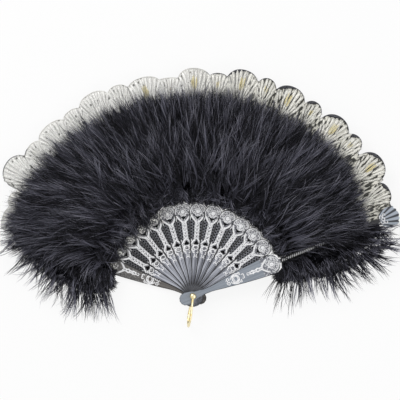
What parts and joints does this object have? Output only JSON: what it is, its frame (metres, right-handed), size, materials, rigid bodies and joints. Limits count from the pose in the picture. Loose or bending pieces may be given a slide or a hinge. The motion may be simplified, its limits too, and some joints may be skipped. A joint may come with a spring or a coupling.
{
  "type": "feather fan",
  "caption": "Open black feather folding fan with pierced grey and silver sticks, a scalloped black and silver lace leaf and a brass bail.",
  "frame": {"origin": "centre of the rivet's rear face, on the plane that the fan lies on", "axes": "+X to the right across the open fan, +Y from the rivet towards the middle of the leaf, +Z out of the front face, along the rivet"},
  "size_m": [0.4979, 0.3237, 0.0533],
  "materials": {
    "blade": "satin",
    "guard": "satin",
    "brass": "polished",
    "lace": "matte",
    "feather": "matte"
  },
  "bodies": {
    "guard_back_body": {"guard_back": "guard", "rivet_pin": "brass", "rivet_cap": "brass", "leaf_01": "lace", "feather_inner_01": "feather", "feather_outer_01": "feather", "feather_end_left": "feather"},
    "stick_01_body": {"stick_01": "blade", "leaf_02": "lace", "feather_inner_02": "feather", "feather_outer_02": "feather"},
    "stick_02_body": {"stick_02": "blade", "leaf_03": "lace", "feather_inner_03": "feather", "feather_outer_03": "feather"},
    "stick_03_body": {"stick_03": "blade", "leaf_04": "lace", "feather_inner_04": "feather", "feather_outer_04": "feather"},
    "stick_04_body": {"stick_04": "blade", "leaf_05": "lace", "feather_inner_05": "feather", "feather_outer_05": "feather"},
    "stick_05_body": {"stick_05": "blade", "leaf_06": "lace", "feather_inner_06": "feather", "feather_outer_06": "feather"},
    "stick_06_body": {"stick_06": "blade", "leaf_07": "lace", "feather_inner_07": "feather", "feather_outer_07": "feather"},
    "stick_07_body": {"stick_07": "blade", "leaf_08": "lace", "feather_inner_08": "feather", "feather_outer_08": "feather"},
    "stick_08_body": {"stick_08": "blade", "leaf_09": "lace", "feather_inner_09": "feather", "feather_outer_09": "feather"},
    "stick_09_body": {"stick_09": "blade", "leaf_10": "lace", "feather_inner_10": "feather", "feather_outer_10": "feather"},
    "stick_10_body": {"stick_10": "blade", "leaf_11": "lace", "feather_inner_11": "feather", "feather_outer_11": "feather"},
    "stick_11_body": {"stick_11": "blade", "leaf_12": "lace", "feather_inner_12": "feather", "feather_outer_12": "feather"},
    "stick_12_body": {"stick_12": "blade", "leaf_13": "lace", "feather_inner_13": "feather", "feather_outer_13": "feather"},
    "guard_front_body": {"guard_front": "guard", "feather_end_right": "feather"},
    "bail_body": {"bail": "brass"}
  },
  "joints": [
    {"name": "fold_01", "type": "hinge", "parent": "guard_back_body", "child": "stick_01_body", "pos_m": [0, 0, 0], "axis": [0, 0, 1], "range_deg": [0, 10.3], "deforming": ["leaf_01", "feather_inner_01", "feather_outer_01", "feather_end_left"]},
    {"name": "fold_02", "type": "hinge", "parent": "stick_01_body", "child": "stick_02_body", "pos_m": [0, 0, 0], "axis": [0, 0, 1], "range_deg": [0, 10.3], "deforming": ["leaf_02", "feather_inner_02", "feather_outer_02"]},
    {"name": "fold_03", "type": "hinge", "parent": "stick_02_body", "child": "stick_03_body", "pos_m": [0, 0, 0], "axis": [0, 0, 1], "range_deg": [0, 10.3], "deforming": ["leaf_03", "feather_inner_03", "feather_outer_03"]},
    {"name": "fold_04", "type": "hinge", "parent": "stick_03_body", "child": "stick_04_body", "pos_m": [0, 0, 0], "axis": [0, 0, 1], "range_deg": [0, 10.3], "deforming": ["leaf_04", "feather_inner_04", "feather_outer_04"]},
    {"name": "fold_05", "type": "hinge", "parent": "stick_04_body", "child": "stick_05_body", "pos_m": [0, 0, 0], "axis": [0, 0, 1], "range_deg": [0, 10.3], "deforming": ["leaf_05", "feather_inner_05", "feather_outer_05"]},
    {"name": "fold_06", "type": "hinge", "parent": "stick_05_body", "child": "stick_06_body", "pos_m": [0, 0, 0], "axis": [0, 0, 1], "range_deg": [0, 10.3], "deforming": ["leaf_06", "feather_inner_06", "feather_outer_06"]},
    {"name": "fold_07", "type": "hinge", "parent": "stick_06_body", "child": "stick_07_body", "pos_m": [0, 0, 0], "axis": [0, 0, 1], "range_deg": [0, 10.3], "deforming": ["leaf_07", "feather_inner_07", "feather_outer_07"]},
    {"name": "fold_08", "type": "hinge", "parent": "stick_07_body", "child": "stick_08_body", "pos_m": [0, 0, 0], "axis": [0, 0, 1], "range_deg": [0, 10.3], "deforming": ["leaf_08", "feather_inner_08", "feather_outer_08"]},
    {"name": "fold_09", "type": "hinge", "parent": "stick_08_body", "child": "stick_09_body", "pos_m": [0, 0, 0], "axis": [0, 0, 1], "range_deg": [0, 10.3], "deforming": ["leaf_09", "feather_inner_09", "feather_outer_09"]},
    {"name": "fold_10", "type": "hinge", "parent": "stick_09_body", "child": "stick_10_body", "pos_m": [0, 0, 0], "axis": [0, 0, 1], "range_deg": [0, 10.3], "deforming": ["leaf_10", "feather_inner_10", "feather_outer_10"]},
    {"name": "fold_11", "type": "hinge", "parent": "stick_10_body", "child": "stick_11_body", "pos_m": [0, 0, 0], "axis": [0, 0, 1], "range_deg": [0, 10.3], "deforming": ["leaf_11", "feather_inner_11", "feather_outer_11"]},
    {"name": "fold_12", "type": "hinge", "parent": "stick_11_body", "child": "stick_12_body", "pos_m": [0, 0, 0], "axis": [0, 0, 1], "range_deg": [0, 10.3], "deforming": ["leaf_12", "feather_inner_12", "feather_outer_12"]},
    {"name": "fold_13", "type": "hinge", "parent": "stick_12_body", "child": "guard_front_body", "pos_m": [0, 0, 0], "axis": [0, 0, 1], "range_deg": [0, 12.6], "deforming": ["leaf_13", "feather_inner_13", "feather_outer_13", "feather_end_right"]},
    {"name": "bail_swing", "type": "hinge", "parent": "guard_back_body", "child": "bail_body", "pos_m": [0, 0, 0], "axis": [0, 0, 1], "range_deg": [-70, 70]}
  ],
  "couplings": [
    {"joint": "fold_02", "follows": "fold_01", "ratio": 1},
    {"joint": "fold_03", "follows": "fold_01", "ratio": 1},
    {"joint": "fold_04", "follows": "fold_01", "ratio": 1},
    {"joint": "fold_05", "follows": "fold_01", "ratio": 1},
    {"joint": "fold_06", "follows": "fold_01", "ratio": 1},
    {"joint": "fold_07", "follows": "fold_01", "ratio": 1},
    {"joint": "fold_08", "follows": "fold_01", "ratio": 1},
    {"joint": "fold_09", "follows": "fold_01", "ratio": 1},
    {"joint": "fold_10", "follows": "fold_01", "ratio": 1},
    {"joint": "fold_11", "follows": "fold_01", "ratio": 1},
    {"joint": "fold_12", "follows": "fold_01", "ratio": 1},
    {"joint": "fold_13", "follows": "fold_01", "ratio": 1.22}
  ]
}
